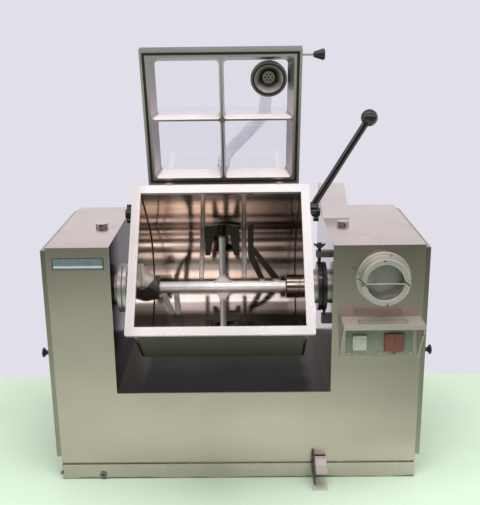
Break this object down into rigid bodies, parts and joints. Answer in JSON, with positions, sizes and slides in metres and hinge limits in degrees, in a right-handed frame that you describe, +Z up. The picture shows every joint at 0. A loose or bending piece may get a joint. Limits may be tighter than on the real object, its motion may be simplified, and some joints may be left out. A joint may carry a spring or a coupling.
{
  "type": "vacuum meat mixer",
  "caption": "Tilting-bowl vacuum meat mixer: twin-column steel cabinet, U-shaped bowl on trunnions, windowed lid, mixing arm, tilting lever and push switches.",
  "frame": {"origin": "middle of the cabinet's footprint, on the floor", "axes": "+X to the machine's right seen from the front, +Y to the back, +Z up"},
  "size_m": [1.173, 0.7396, 1.303],
  "materials": {
    "brushed_steel": "vertical fine brush, lightly worn",
    "mirror_steel": "mirror polished with faint scratches",
    "satin_steel": "turned or ground, satin",
    "cast_alloy": "as cast, blasted",
    "clear_panel": "clear polycarbonate",
    "hose_plastic": "translucent",
    "black_plastic": "moulded",
    "seal_rubber": "matt",
    "white_plastic": "moulded",
    "red_plastic": "moulded",
    "grey_plastic": "moulded",
    "name_plate": "enamelled",
    "machine_paint": "hammer finish",
    "structural_steel": "plain",
    "cast_iron": "machined"
  },
  "bodies": {
    "cabinet": {"base_pan": "brushed_steel", "front_panel": "brushed_steel", "back_panel": "brushed_steel", "left_casing": "brushed_steel", "right_casing": "brushed_steel", "well_tray": "mirror_steel", "left_side_cover": "brushed_steel", "right_side_cover": "brushed_steel", "top_caps": "brushed_steel", "nameplate": "name_plate", "ramp_hood": "brushed_steel", "filter_housing": "satin_steel", "filter_glass": "clear_panel", "filter_ring": "satin_steel", "filter_bar": "satin_steel", "suction_pipe": "satin_steel", "control_hood": "brushed_steel", "switch_plate": "grey_plastic", "switch_bodies": "grey_plastic", "panel_screws": "satin_steel", "bearing_uprights": "structural_steel", "left_bearing_flange": "satin_steel", "right_bearing_flange": "satin_steel", "plunger_guide": "satin_steel", "limit_switch": "black_plastic", "pedal_bracket": "satin_steel", "gearmotor": "machine_paint", "drive_belt": "seal_rubber", "vacuum_pump": "machine_paint"},
    "left_cover_knob": {"left_cover_knob": "black_plastic"},
    "right_cover_knob": {"right_cover_knob": "black_plastic"},
    "index_plunger": {"index_plunger": "satin_steel"},
    "pedal": {"pedal": "satin_steel"},
    "start_button": {"start_button": "white_plastic"},
    "stop_button": {"stop_button": "red_plastic"},
    "motor_pulley": {"motor_pulley": "cast_iron"},
    "bowl": {"bowl_trough": "mirror_steel", "left_bowl_end": "mirror_steel", "right_bowl_end": "mirror_steel", "bowl_rim": "satin_steel", "baffle_pins": "mirror_steel", "left_trunnion": "satin_steel", "right_trunnion": "satin_steel", "hinge_lugs": "satin_steel", "hinge_shaft": "satin_steel", "tilt_lever": "satin_steel", "lever_knob": "black_plastic"},
    "left_star_knob": {"left_star_knob": "black_plastic"},
    "right_star_knob": {"right_star_knob": "black_plastic"},
    "mixer": {"mixing_arm": "mirror_steel", "left_hub": "mirror_steel", "right_hub": "mirror_steel", "shaft_pulley": "cast_iron"},
    "lid": {"lid_frame": "cast_alloy", "lid_seals": "seal_rubber", "lid_panel": "clear_panel", "vacuum_port": "satin_steel", "suction_tube": "hose_plastic", "lid_handle": "satin_steel", "lid_handle_knob": "black_plastic"}
  },
  "joints": [
    {"name": "bowl_tilt", "type": "hinge", "parent": "cabinet", "child": "bowl", "pos_m": [-0.0405, -0.157, 0.598], "axis": [1, 0, 0], "range_deg": [-49.5, 45]},
    {"name": "lid_swing", "type": "hinge", "parent": "bowl", "child": "lid", "pos_m": [-0.0405, -0.03392, 0.80061], "axis": [1, 0, 0], "range_deg": [0, 124.4]},
    {"name": "mixer_spin", "type": "hinge", "parent": "cabinet", "child": "mixer", "pos_m": [-0.0405, -0.157, 0.598], "axis": [1, 0, 0], "continuous": true},
    {"name": "motor_spin", "type": "hinge", "parent": "cabinet", "child": "motor_pulley", "pos_m": [-0.4405, -0.137, 0.165], "axis": [1, 0, 0], "continuous": true},
    {"name": "left_cover_knob_turn", "type": "hinge", "parent": "cabinet", "child": "left_cover_knob", "pos_m": [-0.57, -0.236, 0.42], "axis": [-1, 0, 0], "range_deg": [-90, 0]},
    {"name": "right_cover_knob_turn", "type": "hinge", "parent": "cabinet", "child": "right_cover_knob", "pos_m": [0.57, -0.236, 0.42], "axis": [1, 0, 0], "range_deg": [-90, 0]},
    {"name": "index_plunger_slide", "type": "slide", "parent": "cabinet", "child": "index_plunger", "axis": [0, 0, 1], "range_m": [-0.009, 0]},
    {"name": "pedal_press", "type": "hinge", "parent": "cabinet", "child": "pedal", "pos_m": [0.255, -0.274, 0.068], "axis": [1, 0, 0], "range_deg": [0, 12], "stiffness_Nm_per_rad": 2, "springref_deg": -14.32},
    {"name": "start_press", "type": "slide", "parent": "cabinet", "child": "start_button", "axis": [0, 1, 0], "range_m": [0, 0.004], "stiffness_N_per_m": 600, "springref_m": -0.002},
    {"name": "stop_press", "type": "slide", "parent": "cabinet", "child": "stop_button", "axis": [0, 1, 0], "range_m": [0, 0.004], "stiffness_N_per_m": 600, "springref_m": -0.002},
    {"name": "left_star_knob_turn", "type": "hinge", "parent": "bowl", "child": "left_star_knob", "pos_m": [-0.3305, -0.03392, 0.80061], "axis": [-1, 0, 0], "continuous": true},
    {"name": "right_star_knob_turn", "type": "hinge", "parent": "bowl", "child": "right_star_knob", "pos_m": [0.2495, -0.03392, 0.80061], "axis": [1, 0, 0], "continuous": true}
  ],
  "couplings": [
    {"joint": "motor_spin", "follows": "mixer_spin", "ratio": 2.3529}
  ]
}
